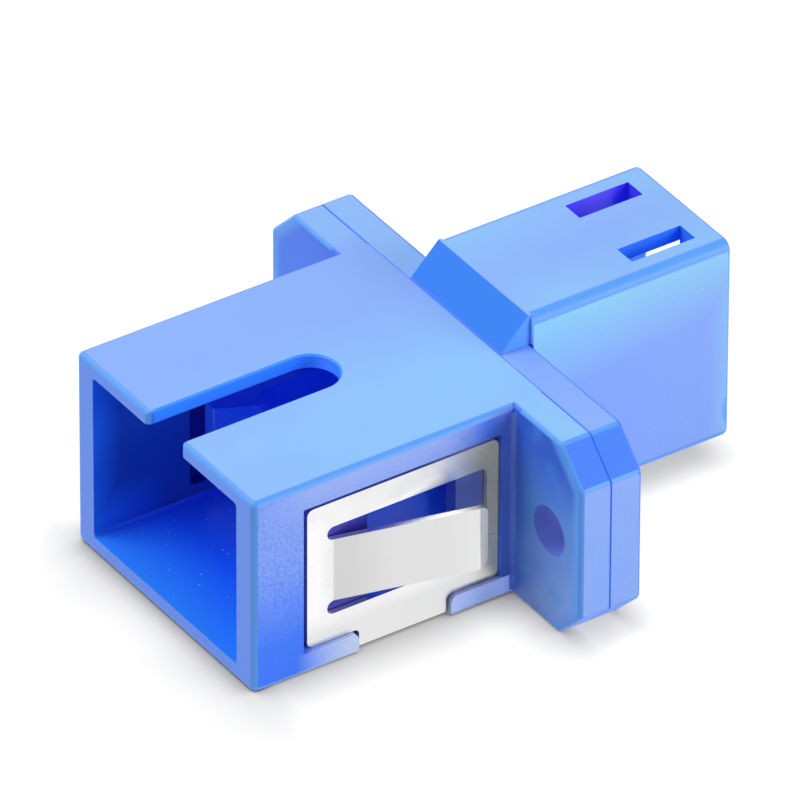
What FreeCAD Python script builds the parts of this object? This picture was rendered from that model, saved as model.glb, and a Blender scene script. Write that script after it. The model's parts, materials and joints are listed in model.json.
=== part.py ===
import FreeCAD, Part
import math
import os
from FreeCAD import Vector

# SC-to-LC hybrid fibre adapter: one SC port, one LC port, a panel flange between them.
# Frame: +Y runs along the optical axis from the SC port to the LC port, +Z is up, and the
# origin lies on the optical axis, in the flange face that seats on the panel.
# All sizes are in millimetres.

# SC body
BODY_W = 12.95           # width of the SC body
BODY_H = 9.30            # height of the SC body and of the flange
SC_REACH = 12.56         # panel face to SC mouth
SIDE_WALL = 1.22
TOP_WALL = 0.64
FLOOR_WALL = 0.80
BODY_EDGE_R = 0.28       # long outer edges
MOUTH_R = 0.27           # outer rim of the mouth
CAVITY_R = 0.20          # inner corners of the port

# keyway in the top wall
KEY_W = 2.45
KEY_LEN = 8.25           # mouth to the far side of its round end
KEY_CORNER_R = 0.25      # tongue corners at the mouth
KEY_BEVEL = 0.08         # broken top edge

# flange, two welded halves
HOLE_PITCH = 18.0
HOLE_D = 2.2
EAR_END = 2.25           # screw hole centre to flange end
SEAT_T = 1.45            # half that belongs to the SC body
BACK_T = 1.53            # half that belongs to the LC body
CORNER_CUT = 1.55
FLANGE_EDGE_R = 0.20     # outer rim
FLANGE_CORNER_R = 0.32   # edges between the eight sides
BLEND_R = 0.25           # body side into flange face
WELD_V = 0.045           # chamfer of both halves along the weld line

# recess for the panel clip in each body side
RECESS_FRONT = 2.42      # mouth to recess
RECESS_BACK = 0.59       # recess to flange face
RECESS_TOP = 1.185       # body top to recess
RECESS_DEPTH = 0.50
LUG_H = 1.025            # body bottom to the ledge under the clip
LUG_R = 0.35

# opening in each body side that lets the latch hooks spread
HOOK_WINDOW_L = 4.27
HOOK_WINDOW_SILL = 0.425  # above the lugs' ledge
HOOK_WINDOW_HEAD = 0.265  # below the top of the recess
HOOK_WINDOW_R = 0.30
HOOK_RELIEF_L = 1.15     # blind relief in front of that opening
HOOK_RELIEF_LEAD = 0.33  # relief's edge ahead of the hook arm's end
HOOK_RELIEF_SKIN = 0.28  # wall left behind the relief

# panel clip, one folded sheet
CLIP_T = 0.25
CLIP_GAP = 0.05          # sheet to the plastic behind it
CLIP_SEAT = 0.04         # sheet to the lugs that carry it
CLIP_PLAY = 0.30         # sheet to the recess at its top and its front
CLIP_BACK_PLAY = 0.03    # sheet to the recess at the flange end
CLIP_CORNER_R = 0.30
BAR_FRONT = 0.96
BAR_BACK = 0.55
BAR_TOP = 1.21
BAR_BOTTOM = 1.26
SLIT_W = 0.64            # slit above and below the spring tab
WEB_W = 4.20             # strip that passes under the body
WEB_PLAY = 0.13
WEB_FILLET = 0.25
BEND_R = 0.36            # outer radius where the sheet turns under the body
PANEL_GAP = 2.05         # tab's tip to the flange face, where the panel's edge lies
TAB_RISE = 1.50          # how far the tab springs out
TAB_BEND_R = 0.60
LIP_RUN = 0.44
LIP_DROP = 0.12
TAB_CORNER_R = 0.45

# ferrule sleeves
SC_SLEEVE_BORE = 2.49
SC_SLEEVE_T = 0.355
SC_SLEEVE_L = 5.70
LC_SLEEVE_BORE = 1.245
LC_SLEEVE_T = 0.1875
LC_SLEEVE_L = 3.40
SLEEVE_SLOT = 0.40
SLEEVE_CHAMFER = 0.10
SLEEVE_PLAY = 0.05       # round each sleeve and at its end
MATE_Y = 1.00            # plane where the two ferrules meet

# stepped barrel that holds both sleeves
BARREL_T = 0.20
NECK_T = 0.15            # wall round the small sleeve
BARREL_WEB = 0.30        # wall between the two bores
BARREL_PLAY = 0.05
FERRULE_PASS = 0.035     # room round the small ferrule in that wall
PASS_FLARE = 0.06        # how much that hole widens towards the small ferrule's side

# latch insert of the SC port
POCKET_STEP = 0.40       # ledge that stops the insert at the sides
POCKET_STEP_Z = 0.22     # the same at the top and the bottom
LEDGE_BACK = 0.50        # ledge, in front of the flange face
INSERT_PLAY = 0.05
INSERT_PLATE_T = 1.50
TUBE_WALL = 0.40
TUBE_LIP_T = 0.40        # lip that keeps the sleeve in
LIP_ROOM = 0.06          # lip to ferrule, radially, at the lip's inner edge
LEAD_IN = 0.25
ARM_T = 0.70
ARM_H = 2.60
ARM_GAP = 0.57           # arm to side wall
ARM_LEN = 7.08           # from the insert's plate to the arm's end
HOOK_DEPTH = 0.87
HOOK_RAMP = 1.75
HOOK_LAND = 0.30
HOOK_DRAFT = 0.10        # lean of the catch face
ARM_ROOT_R = 0.39        # round where the arm leaves the plate
ARM_CORNER_R = 0.10
NOSE_R = 0.15            # crown of the hook, half of it at the catch edge

# LC port
LC_PORT = 4.70           # square opening for the plug
LC_WALL = 1.10
LC_FLOOR = 1.29
LC_REACH = 9.70          # flange back to LC mouth
LC_EDGE_R = 0.50
LC_RIM_R = 0.20
LATCH_W = 4.82           # channel for the plug's latch
LATCH_CEILING = 5.38
LATCH_GATE = 3.95        # underside of the catch shoulders
LATCH_RAMP_START = 1.30  # port floor to the foot of the channel's sloping roof
LATCH_LEVEL = 0.30       # level roof between that slope and the windows
LC_ROOF = 0.70
RIB_W = 2.68             # rib between the latch windows
WINDOW_L = 3.10
SHOULDER_L = 1.10        # catch shoulder, window to mouth
SLOPE_RUN = 1.40
SLOPE_STEP = 0.20        # the slope is this much narrower than the box, each side
PORT_LEAD = 0.25
GATE_R = 1.42            # shallow dish left by the moulding gate
GATE_DEPTH = 0.26
GATE_OFF = 1.07          # dish centre beyond the rear face
GATE_Z = 1.50            # dish centre above the underside

# sleeve holder of the LC half
COLLAR_R = 2.60
COLLAR_T = 0.90
HOLDER_PLAY = 0.05
HOLDER_WALL = 0.40
HOLDER_LIP_T = 0.40

BEYOND = 2.0             # how far a cutter runs past the face it opens

# derived places
half_w = BODY_W / 2
half_h = BODY_H / 2
mouth_y = -SC_REACH
weld_y = SEAT_T
flange_back_y = SEAT_T + BACK_T
lc_mouth_y = flange_back_y + LC_REACH
cavity_x = half_w - SIDE_WALL
cavity_top = half_h - TOP_WALL
cavity_floor = -half_h + FLOOR_WALL
ledge_y = -LEDGE_BACK
pocket_x = cavity_x + POCKET_STEP
pocket_top = cavity_top + POCKET_STEP_Z
pocket_floor = cavity_floor - POCKET_STEP_Z

recess_y0 = mouth_y + RECESS_FRONT
recess_y1 = -RECESS_BACK
recess_top = half_h - RECESS_TOP
lug_top = -half_h + LUG_H
recess_x = half_w - RECESS_DEPTH

clip_x_in = recess_x + CLIP_GAP
clip_x_out = clip_x_in + CLIP_T
clip_y0 = recess_y0 + CLIP_PLAY
clip_y1 = recess_y1 - CLIP_BACK_PLAY
clip_top = recess_top - CLIP_PLAY
clip_low = lug_top + CLIP_SEAT
clip_under = -half_h + CLIP_SEAT
web_y0 = (clip_y0 + clip_y1 - WEB_W) / 2
web_y1 = web_y0 + WEB_W

arm_x_out = cavity_x - ARM_GAP
arm_x_in = arm_x_out - ARM_T
hook_x = arm_x_in - HOOK_DEPTH
arm_y0 = ledge_y - ARM_LEN
plate_back_y = ledge_y + INSERT_PLATE_T
boss_y = plate_back_y + INSERT_PLAY

sc_sleeve_r = SC_SLEEVE_BORE / 2 + SC_SLEEVE_T
sc_sleeve_y0 = MATE_Y - SC_SLEEVE_L
barrel_bore = sc_sleeve_r + SLEEVE_PLAY
barrel_r = barrel_bore + BARREL_T
barrel_y0 = sc_sleeve_y0
barrel_floor_y = MATE_Y + SLEEVE_PLAY
barrel_step_y = barrel_floor_y + BARREL_WEB
tube_bore = barrel_r + BARREL_PLAY
tube_r = tube_bore + TUBE_WALL
tube_y0 = barrel_y0 - SLEEVE_PLAY - TUBE_LIP_T

lc_sleeve_r = LC_SLEEVE_BORE / 2 + LC_SLEEVE_T
lc_sleeve_y1 = barrel_step_y + SLEEVE_PLAY + LC_SLEEVE_L
small_bore = lc_sleeve_r + SLEEVE_PLAY
small_r = small_bore + NECK_T
holder_bore = small_r + BARREL_PLAY
holder_r = holder_bore + HOLDER_WALL
holder_y0 = barrel_step_y + BARREL_PLAY
holder_lip_y = lc_sleeve_y1 + SLEEVE_PLAY
holder_y1 = holder_lip_y + HOLDER_LIP_T

port_half = LC_PORT / 2
lc_half_w = port_half + LC_WALL
lc_top = LATCH_CEILING + LC_ROOF
lc_low = -port_half - LC_FLOOR
window_y1 = lc_mouth_y - SHOULDER_L
window_y0 = window_y1 - WINDOW_L

# where an outline drawn in two coordinates stands, for an extrusion along x, y or z
PLACE = {
    "x": lambda a, b, h: Vector(h, a, b),
    "y": lambda a, b, h: Vector(a, h, b),
    "z": lambda a, b, h: Vector(a, b, h),
}


def outline(points, radii):
    """Edges of a closed outline, each corner rounded by its radius, 0 for a sharp one."""
    if not isinstance(radii, (list, tuple)):
        radii = [radii] * len(points)
    ends = []
    for i, radius in enumerate(radii):
        corner = points[i]
        to_last = (points[i - 1] - corner).normalize()
        to_next = (points[(i + 1) % len(points)] - corner).normalize()
        if radius:
            half_turn = to_last.getAngle(to_next) / 2
            leg = radius / math.tan(half_turn)
            inward = (to_last + to_next).normalize()
            crown = corner + inward * (radius / math.sin(half_turn) - radius)
            ends.append((corner + to_last * leg, crown, corner + to_next * leg))
        else:
            ends.append((corner, None, corner))
    edges = []
    for i, (start, crown, end) in enumerate(ends):
        if crown:
            edges.append(Part.Arc(start, crown, end).toShape())
        following = ends[(i + 1) % len(ends)][0]
        if end.distanceToPoint(following) > 1e-6:
            edges.append(Part.LineSegment(end, following).toShape())
    return edges


def prism(axis, low, high, points, radii=0):
    """Extrude an outline along an axis, from low to high."""
    place = PLACE[axis]
    wire = Part.Wire(outline([place(a, b, low) for a, b in points], radii))
    return Part.Face(wire).extrude(place(0, 0, high - low))


def rectangle(a0, a1, b0, b1):
    return [(a0, b0), (a1, b0), (a1, b1), (a0, b1)]


def block(x0, x1, y0, y1, z0, z1):
    return prism("y", y0, y1, rectangle(x0, x1, z0, z1))


def cylinder(radius, y0, y1, x=0.0):
    return Part.makeCylinder(radius, y1 - y0, Vector(x, y0, 0), Vector(0, 1, 0))


def turned(profile):
    """Revolve a profile of (radius, y) points about the optical axis."""
    wire = Part.makePolygon([Vector(r, y, 0) for r, y in profile + profile[:1]])
    return Part.Face(wire).revolve(Vector(0, 0, 0), Vector(0, 1, 0), 360)


def mirrored(shape):
    return shape.mirror(Vector(0, 0, 0), Vector(1, 0, 0))


def both_sides(shape):
    return [shape, mirrored(shape)]


def edges_in_plane_y(shape, y):
    return [e for e in shape.Edges if max(abs(e.BoundBox.YMin - y), abs(e.BoundBox.YMax - y)) < 1e-6]


def tapered_mouth(half_x, z0, z1, y, depth, spread):
    """Lead-in at a rectangular mouth in the plane y: wider by spread there, depth deep towards -Y."""
    wires = []
    for at_y, grow in ((y - depth, 0), (y, spread)):
        corners = rectangle(-half_x - grow, half_x + grow, z0 - grow, z1 + grow)
        ring = [Vector(a, at_y, b) for a, b in corners]
        wires.append(Part.makePolygon(ring + ring[:1]))
    return Part.makeLoft(wires, True, True)


def flange_half(y0, y1, outer_y, weld_face_y):
    """Eight-sided plate with a rounded outer rim, a fine chamfer at the weld and two screw holes."""
    end = HOLE_PITCH / 2 + EAR_END
    points = [
        (-end + CORNER_CUT, -half_h), (end - CORNER_CUT, -half_h),
        (end, -half_h + CORNER_CUT), (end, half_h - CORNER_CUT),
        (end - CORNER_CUT, half_h), (-end + CORNER_CUT, half_h),
        (-end, half_h - CORNER_CUT), (-end, -half_h + CORNER_CUT),
    ]
    plate = prism("y", y0, y1, points, FLANGE_CORNER_R)
    plate = plate.makeFillet(FLANGE_EDGE_R, edges_in_plane_y(plate, outer_y))
    return plate.makeChamfer(WELD_V, edges_in_plane_y(plate, weld_face_y))


def screw_holes():
    return both_sides(cylinder(HOLE_D / 2, -BEYOND, flange_back_y + BEYOND, HOLE_PITCH / 2))


def side_blend():
    """Concave round where the body's side runs into the flange."""
    reach = half_h - BODY_EDGE_R
    strip = block(half_w - BLEND_R, half_w + BLEND_R, -BLEND_R, BLEND_R, -reach, reach)
    hollow = Part.makeCylinder(BLEND_R, BODY_H, Vector(half_w + BLEND_R, -BLEND_R, -half_h))
    return strip.cut(hollow)


def key_slot():
    """Round-ended keyway, flared by the tongue corners at the mouth, its top edge broken."""
    wide = KEY_W / 2 + 2 * KEY_CORNER_R
    end_y = mouth_y + KEY_LEN
    tip_r = KEY_W / 2

    def plan(spread):
        x = tip_r + spread
        return [
            (-wide - spread, mouth_y - BEYOND), (wide + spread, mouth_y - BEYOND),
            (wide + spread, mouth_y), (x, mouth_y), (x, end_y + spread), (-x, end_y + spread),
            (-x, mouth_y), (-wide - spread, mouth_y),
        ]

    def rounds(spread):
        return [0, 0, 0, KEY_CORNER_R, tip_r + spread, tip_r + spread, KEY_CORNER_R, 0]

    slot = prism("z", cavity_top - BEYOND, half_h + BEYOND, plan(0), rounds(0))
    rings = []
    for z, spread in ((half_h - KEY_BEVEL, 0), (half_h, KEY_BEVEL)):
        corners = [Vector(a, b, z) for a, b in plan(spread)]
        rings.append(Part.Wire(outline(corners, rounds(spread))))
    return slot.fuse(Part.makeLoft(rings, True, True))


def clip_recess():
    """Side pocket for the clip's frame, with the gap between the lugs where its web turns under."""
    gap_y0 = web_y0 - WEB_PLAY
    gap_y1 = web_y1 + WEB_PLAY
    under = -half_h - BEYOND
    points = [
        (recess_y0, recess_top), (recess_y0, lug_top), (gap_y0, lug_top), (gap_y0, under),
        (gap_y1, under), (gap_y1, lug_top), (recess_y1, lug_top), (recess_y1, recess_top),
    ]
    return prism("x", recess_x, half_w + BEYOND, points, [0, 0, LUG_R, 0, 0, LUG_R, 0, 0])


def web_groove():
    """Shallow groove under the body for the clip's web, its corners rounded to the sheet's bend."""
    corner_r = BEND_R - CLIP_T + CLIP_GAP
    floor_z = clip_under + CLIP_T + CLIP_GAP
    y0 = web_y0 - WEB_PLAY
    y1 = web_y1 + WEB_PLAY
    outer = block(-half_w - BEYOND, half_w + BEYOND, y0, y1, -half_h - BEYOND, floor_z + corner_r)
    core = prism("y", y0, y1, rectangle(-recess_x, recess_x, floor_z, half_h), [corner_r, corner_r, 0, 0])
    return outer.cut(core)


def hook_window():
    """Opening in the side wall behind the clip, and the blind relief ahead of it."""
    y0 = arm_y0 - HOOK_RELIEF_LEAD
    y1 = y0 + HOOK_RELIEF_L
    z0 = lug_top + HOOK_WINDOW_SILL
    z1 = recess_top - HOOK_WINDOW_HEAD
    relief = prism("x", cavity_x - CAVITY_R, recess_x - HOOK_RELIEF_SKIN,
                   rectangle(y0, y1 + HOOK_WINDOW_R, z0, z1), [HOOK_WINDOW_R, 0, 0, HOOK_WINDOW_R])
    opening = prism("x", cavity_x - CAVITY_R, recess_x + CLIP_GAP,
                    rectangle(y1, y1 + HOOK_WINDOW_L, z0, z1), HOOK_WINDOW_R)
    return relief.fuse(opening)


def sc_housing():
    body = prism("y", mouth_y, weld_y, rectangle(-half_w, half_w, -half_h, half_h), BODY_EDGE_R)
    body = body.makeFillet(MOUTH_R, edges_in_plane_y(body, mouth_y))
    body = body.fuse([flange_half(0, weld_y, 0, weld_y)] + both_sides(side_blend())).removeSplitter()
    port = prism("y", mouth_y - BEYOND, weld_y,
                 rectangle(-cavity_x, cavity_x, cavity_floor, cavity_top), CAVITY_R)
    pocket = prism("y", ledge_y, weld_y + BEYOND,
                   rectangle(-pocket_x, pocket_x, pocket_floor, pocket_top), CAVITY_R)
    cutters = [port, pocket, key_slot(), web_groove()]
    cutters += both_sides(clip_recess()) + both_sides(hook_window()) + screw_holes()
    return body.cut(cutters)


def latch_arm():
    """Hook arm seen from above: a thin beam, a ramped nose and a catch face behind it."""
    buried_y = ledge_y + INSERT_PLATE_T / 2
    nose_y = arm_y0 + HOOK_RAMP
    catch_y = nose_y + HOOK_LAND
    points = [
        (arm_x_out, arm_y0), (arm_x_out, buried_y), (arm_x_in, buried_y),
        (arm_x_in, catch_y + HOOK_DRAFT), (hook_x, catch_y), (hook_x, nose_y), (arm_x_in, arm_y0),
    ]
    radii = [ARM_CORNER_R, 0, 0, ARM_CORNER_R, NOSE_R / 2, NOSE_R, ARM_CORNER_R]
    beam = prism("z", -ARM_H / 2, ARM_H / 2, points, radii)
    root_r = min(ARM_ROOT_R, ARM_GAP - INSERT_PLAY)
    far_x = arm_x_out + root_r
    gusset = block(arm_x_out, far_x, ledge_y - root_r, ledge_y, -ARM_H / 2, ARM_H / 2)
    hollow = Part.makeCylinder(root_r, ARM_H, Vector(far_x, ledge_y - root_r, -ARM_H / 2))
    return beam.fuse(gusset.cut(hollow))


def sc_latch_insert():
    plate = prism("y", ledge_y, plate_back_y,
                  rectangle(-pocket_x + INSERT_PLAY, pocket_x - INSERT_PLAY,
                            pocket_floor + INSERT_PLAY, pocket_top - INSERT_PLAY), CAVITY_R)
    lip_r = SC_SLEEVE_BORE / 2 + LIP_ROOM
    lip_back = tube_y0 + TUBE_LIP_T
    tube = turned([
        (lip_r, lip_back), (lip_r + LEAD_IN, tube_y0), (tube_r - LEAD_IN / 2, tube_y0),
        (tube_r, tube_y0 + LEAD_IN / 2), (tube_r, plate_back_y), (tube_bore, plate_back_y),
        (tube_bore, lip_back),
    ])
    core_hole = block(hook_x, arm_x_in, ledge_y - BEYOND, plate_back_y + BEYOND, -ARM_H / 2, ARM_H / 2)
    bored = plate.cut(cylinder(tube_bore, ledge_y - BEYOND, plate_back_y + BEYOND))
    bored = bored.cut(both_sides(core_hole))
    return bored.fuse([tube] + both_sides(latch_arm())).removeSplitter()


def split_sleeve(bore, wall, y0, y1):
    """Ceramic tube slit along its top, so that it closes on the ferrules."""
    r0 = bore / 2
    r1 = r0 + wall
    chamfer = min(SLEEVE_CHAMFER, wall / 3)
    tube = turned([
        (r0, y0 + chamfer), (r0 + chamfer, y0), (r1 - chamfer, y0), (r1, y0 + chamfer),
        (r1, y1 - chamfer), (r1 - chamfer, y1), (r0 + chamfer, y1), (r0, y1 - chamfer),
    ])
    return tube.cut(block(-SLEEVE_SLOT / 2, SLEEVE_SLOT / 2, y0 - BEYOND, y1 + BEYOND, 0, r1 + BEYOND))


def sc_split_sleeve():
    return split_sleeve(SC_SLEEVE_BORE, SC_SLEEVE_T, sc_sleeve_y0, MATE_Y)


def lc_split_sleeve():
    return split_sleeve(LC_SLEEVE_BORE, LC_SLEEVE_T, lc_sleeve_y1 - LC_SLEEVE_L, lc_sleeve_y1)


def sleeve_barrel():
    pass_r = LC_SLEEVE_BORE / 2 + FERRULE_PASS
    return turned([
        (barrel_bore, barrel_y0), (barrel_r, barrel_y0), (barrel_r, barrel_step_y),
        (small_r, barrel_step_y), (small_r, lc_sleeve_y1), (small_bore, lc_sleeve_y1),
        (small_bore, barrel_step_y), (pass_r + PASS_FLARE, barrel_step_y), (pass_r, barrel_floor_y),
        (barrel_bore, barrel_floor_y),
    ])


def lc_sleeve_holder():
    lip_r = LC_SLEEVE_BORE / 2 + LIP_ROOM
    lead = LEAD_IN / 2
    return turned([
        (holder_bore, holder_y0), (COLLAR_R, holder_y0), (COLLAR_R, holder_y0 + COLLAR_T),
        (holder_r, holder_y0 + COLLAR_T), (holder_r, holder_y1 - lead), (holder_r - lead, holder_y1),
        (lip_r + lead, holder_y1), (lip_r, holder_lip_y), (holder_bore, holder_lip_y),
    ])


def latch_channel():
    """Room above the plug for its latch, with a sloping roof, closed by two shoulders at the mouth."""
    foot_y = flange_back_y + LATCH_RAMP_START
    out_y = lc_mouth_y + BEYOND
    points = [
        (foot_y, 0), (foot_y, port_half), (window_y0 - LATCH_LEVEL, LATCH_CEILING),
        (window_y1, LATCH_CEILING), (window_y1, LATCH_GATE), (out_y, LATCH_GATE), (out_y, 0),
    ]
    channel = prism("x", -LATCH_W / 2, LATCH_W / 2, points)
    return [channel, block(-RIB_W / 2, RIB_W / 2, window_y0, out_y, 0, LATCH_CEILING)]


def latch_window():
    return block(RIB_W / 2, LATCH_W / 2, window_y0, window_y1, LATCH_CEILING - LC_ROOF, lc_top + BEYOND)


def gate_dish():
    """Shallow dish in one side of the box, where the moulding gate was trimmed."""
    ball_r = (GATE_R ** 2 + GATE_DEPTH ** 2) / (2 * GATE_DEPTH)
    centre = Vector(lc_half_w + ball_r - GATE_DEPTH, lc_mouth_y + GATE_OFF, lc_low + GATE_Z)
    return Part.makeSphere(ball_r, centre)


def lc_box():
    """Outer form of the LC port: a rounded box behind the flange and a slope over it."""
    section = rectangle(-lc_half_w, lc_half_w, lc_low, lc_top)
    box = prism("y", flange_back_y, lc_mouth_y, section, LC_EDGE_R)
    box = box.makeFillet(LC_RIM_R, edges_in_plane_y(box, lc_mouth_y))
    profile = [
        (weld_y, 0), (weld_y, half_h), (weld_y + SLOPE_RUN, lc_top), (flange_back_y, lc_top),
        (flange_back_y, 0),
    ]
    slope_x = lc_half_w - SLOPE_STEP
    return [box, prism("x", -slope_x, slope_x, profile)]


def lc_housing():
    flange = flange_half(weld_y, flange_back_y, flange_back_y, weld_y)
    boss = prism("y", boss_y, weld_y + BACK_T / 2,
                 rectangle(-pocket_x + INSERT_PLAY, pocket_x - INSERT_PLAY,
                           pocket_floor + INSERT_PLAY, pocket_top - INSERT_PLAY), CAVITY_R)
    shape = flange.fuse([boss] + lc_box()).removeSplitter()
    port = block(-port_half, port_half, flange_back_y, lc_mouth_y + BEYOND, -port_half, port_half)
    lead_in = tapered_mouth(port_half, -port_half, LATCH_GATE, lc_mouth_y, PORT_LEAD, PORT_LEAD)
    seat = cylinder(COLLAR_R + HOLDER_PLAY, boss_y - BEYOND, holder_y0 + COLLAR_T)
    tube_hole = cylinder(holder_r + HOLDER_PLAY, weld_y, flange_back_y + BEYOND)
    cutters = [port, lead_in, seat, tube_hole, gate_dish()] + latch_channel()
    cutters += both_sides(latch_window()) + screw_holes()
    return shape.cut(cutters)


def folded(points, thickness, outer_r, low, high, axis):
    """Sheet bent along a line of points, which lie on its outer face, extruded along an axis."""
    place = PLACE[axis]
    line = [Vector(a, b, 0) for a, b in points]
    inner = []
    for i, point in enumerate(line):
        ahead = line[min(i + 1, len(line) - 1)] - line[min(i, len(line) - 2)]
        behind = line[max(i, 1)] - line[max(i - 1, 0)]
        normals = [Vector(-d.y, d.x, 0).normalize() for d in (behind, ahead)]
        middle = (normals[0] + normals[1]).normalize()
        inner.append(point + middle * (thickness / middle.dot(normals[0])))
    radii_out = [0] + list(outer_r) + [0]
    radii_in = [0] + [r - thickness if r > 0 else thickness - r for r in outer_r] + [0]
    ring = [(p.x, p.y) for p in line + inner[::-1]]
    return prism(axis, low, high, ring, [abs(r) for r in radii_out] + [abs(r) for r in radii_in[::-1]])


def clip_side():
    """One side frame with its window, and the spring tab that is bent out of it."""
    sheet = rectangle(clip_y0, clip_y1, clip_low, clip_top)
    frame = prism("x", clip_x_in, clip_x_out, sheet, CLIP_CORNER_R)
    slit_y0 = clip_y0 + BAR_FRONT
    slit_y1 = clip_y1 - BAR_BACK
    tab_low = clip_low + BAR_BOTTOM + SLIT_W
    tab_high = clip_top - BAR_TOP - SLIT_W
    root_y = slit_y0 + SLIT_W / 2
    slits = [
        prism("x", clip_x_in - BEYOND, clip_x_out + BEYOND,
              rectangle(slit_y0, slit_y1, z, z + SLIT_W), SLIT_W / 2)
        for z in (tab_low - SLIT_W, tab_high)
    ]
    opening = block(clip_x_in - BEYOND, clip_x_out + BEYOND, root_y, slit_y1,
                    tab_low - SLIT_W / 2, tab_high + SLIT_W / 2)
    frame = frame.cut(slits + [opening])
    tip_y = -PANEL_GAP
    bend_y = tip_y - LIP_RUN
    bend_x = clip_x_out + TAB_RISE
    line = [
        (clip_x_out, slit_y0), (clip_x_out, root_y), (bend_x, bend_y), (bend_x - LIP_DROP, tip_y),
    ]
    tab = folded(line, CLIP_T, [-TAB_BEND_R, TAB_BEND_R], tab_low, tab_high, "z")
    blank = prism("x", clip_x_in - BEYOND, bend_x + BEYOND, rectangle(slit_y0, tip_y, tab_low, tab_high),
                  [0, TAB_CORNER_R, TAB_CORNER_R, 0])
    return [frame, tab.common(blank)]


def panel_clip():
    """Clip of one sheet: two side frames joined by a web that passes under the body."""
    start_z = clip_low + CLIP_CORNER_R
    web_line = [
        (-clip_x_out, start_z), (-clip_x_out, clip_under), (clip_x_out, clip_under), (clip_x_out, start_z),
    ]
    web = folded(web_line, CLIP_T, [BEND_R, BEND_R], web_y0, web_y1, "y")
    frame, tab = clip_side()
    shape = web.fuse(both_sides(frame) + both_sides(tab)).removeSplitter()
    corners = [
        e for e in shape.Edges
        if abs(e.BoundBox.ZMin - clip_low) < 1e-6 and abs(e.BoundBox.ZMax - clip_low) < 1e-6
        and min(abs(e.BoundBox.YMin - y) for y in (web_y0, web_y1)) < 1e-6
        and e.BoundBox.YLength < 1e-6
    ]
    return shape.makeFillet(WEB_FILLET, corners)


NODES = {
    "sc_housing": sc_housing,
    "lc_housing": lc_housing,
    "panel_clip": panel_clip,
    "sc_latch_insert": sc_latch_insert,
    "sleeve_barrel": sleeve_barrel,
    "sc_split_sleeve": sc_split_sleeve,
    "lc_split_sleeve": lc_split_sleeve,
    "lc_sleeve_holder": lc_sleeve_holder,
}

os.makedirs("parts", exist_ok=True)
for name, build in NODES.items():
    shape = build()
    if shape.ShapeType == "Compound" and len(shape.Solids) == 1:
        shape = shape.Solids[0]
    shape.exportStep("parts/%s.step" % name)
    print(name, "solids", len(shape.Solids), "valid", shape.isValid(), "volume", round(shape.Volume, 3))
    print("   ", shape.optimalBoundingBox(False, False))
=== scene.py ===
import json
import math

import bmesh
import bpy
from mathutils import Matrix, Vector


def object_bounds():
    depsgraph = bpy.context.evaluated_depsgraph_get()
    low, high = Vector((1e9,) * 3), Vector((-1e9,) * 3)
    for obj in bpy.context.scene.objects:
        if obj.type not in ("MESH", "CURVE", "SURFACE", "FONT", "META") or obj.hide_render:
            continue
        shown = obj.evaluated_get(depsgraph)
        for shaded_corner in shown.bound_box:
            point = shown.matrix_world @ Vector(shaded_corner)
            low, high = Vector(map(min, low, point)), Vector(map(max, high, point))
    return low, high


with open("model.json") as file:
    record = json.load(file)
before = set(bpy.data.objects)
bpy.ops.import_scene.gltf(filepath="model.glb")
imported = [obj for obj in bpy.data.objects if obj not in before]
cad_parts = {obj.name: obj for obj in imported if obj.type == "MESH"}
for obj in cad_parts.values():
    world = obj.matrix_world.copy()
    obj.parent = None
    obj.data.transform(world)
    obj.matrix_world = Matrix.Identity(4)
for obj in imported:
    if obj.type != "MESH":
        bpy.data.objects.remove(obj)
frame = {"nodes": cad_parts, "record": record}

cad_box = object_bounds()
MM = 0.001


# ---------------------------------------------------------------- camera

AIM = Vector((-3.251, 1.006, -1.166)) * MM
DISTANCE = 672.98 * MM
AZIMUTH = math.radians(56.059)
ELEVATION = math.radians(35.090)
ROLL = math.radians(0.243)
LENS = 743.7
SENSOR = 36.0


def around(azimuth, elevation):
    """Unit vector from the object towards a viewer; azimuth 0 stands on the side of -Y."""
    level = math.cos(elevation)
    return Vector((math.sin(azimuth) * level, -math.cos(azimuth) * level, math.sin(elevation)))


def place_camera():
    camera = bpy.data.objects.new("camera", bpy.data.cameras.new("camera"))
    bpy.context.scene.collection.objects.link(camera)
    towards = around(AZIMUTH, ELEVATION)
    turn = towards.to_track_quat("Z", "Y").to_matrix().to_4x4() @ Matrix.Rotation(ROLL, 4, "Z")
    camera.matrix_world = Matrix.Translation(AIM + towards * DISTANCE) @ turn
    camera.data.sensor_width = SENSOR
    camera.data.lens = LENS
    camera.data.clip_start = DISTANCE / 10
    camera.data.clip_end = DISTANCE * 10
    bpy.context.scene.camera = camera


place_camera()
bpy.context.scene.view_settings.view_transform = "Standard"


# ---------------------------------------------------------------- shader maths


class Socket:
    """A node's output that takes part in ordinary arithmetic."""

    def __init__(self, finish, output):
        self.finish = finish
        self.output = output

    def math(self, operation, *values):
        settings = {"operation": operation}
        return self.finish.node("ShaderNodeMath", settings, dict(enumerate(values)))

    def __add__(self, other):
        return self.math("ADD", self, other)

    def __radd__(self, other):
        return self.math("ADD", other, self)

    def __sub__(self, other):
        return self.math("SUBTRACT", self, other)

    def __rsub__(self, other):
        return self.math("SUBTRACT", other, self)

    def __mul__(self, other):
        return self.math("MULTIPLY", self, other)

    def __rmul__(self, other):
        return self.math("MULTIPLY", other, self)

    def most(self, other):
        return self.math("MAXIMUM", self, other)

    def absolute(self):
        return self.math("ABSOLUTE", self)

    def above(self, bound):
        return self.math("GREATER_THAN", self, bound)

    def below(self, bound):
        return self.math("LESS_THAN", self, bound)

    def between(self, low, high):
        return self.above(low) * self.below(high)


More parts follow.
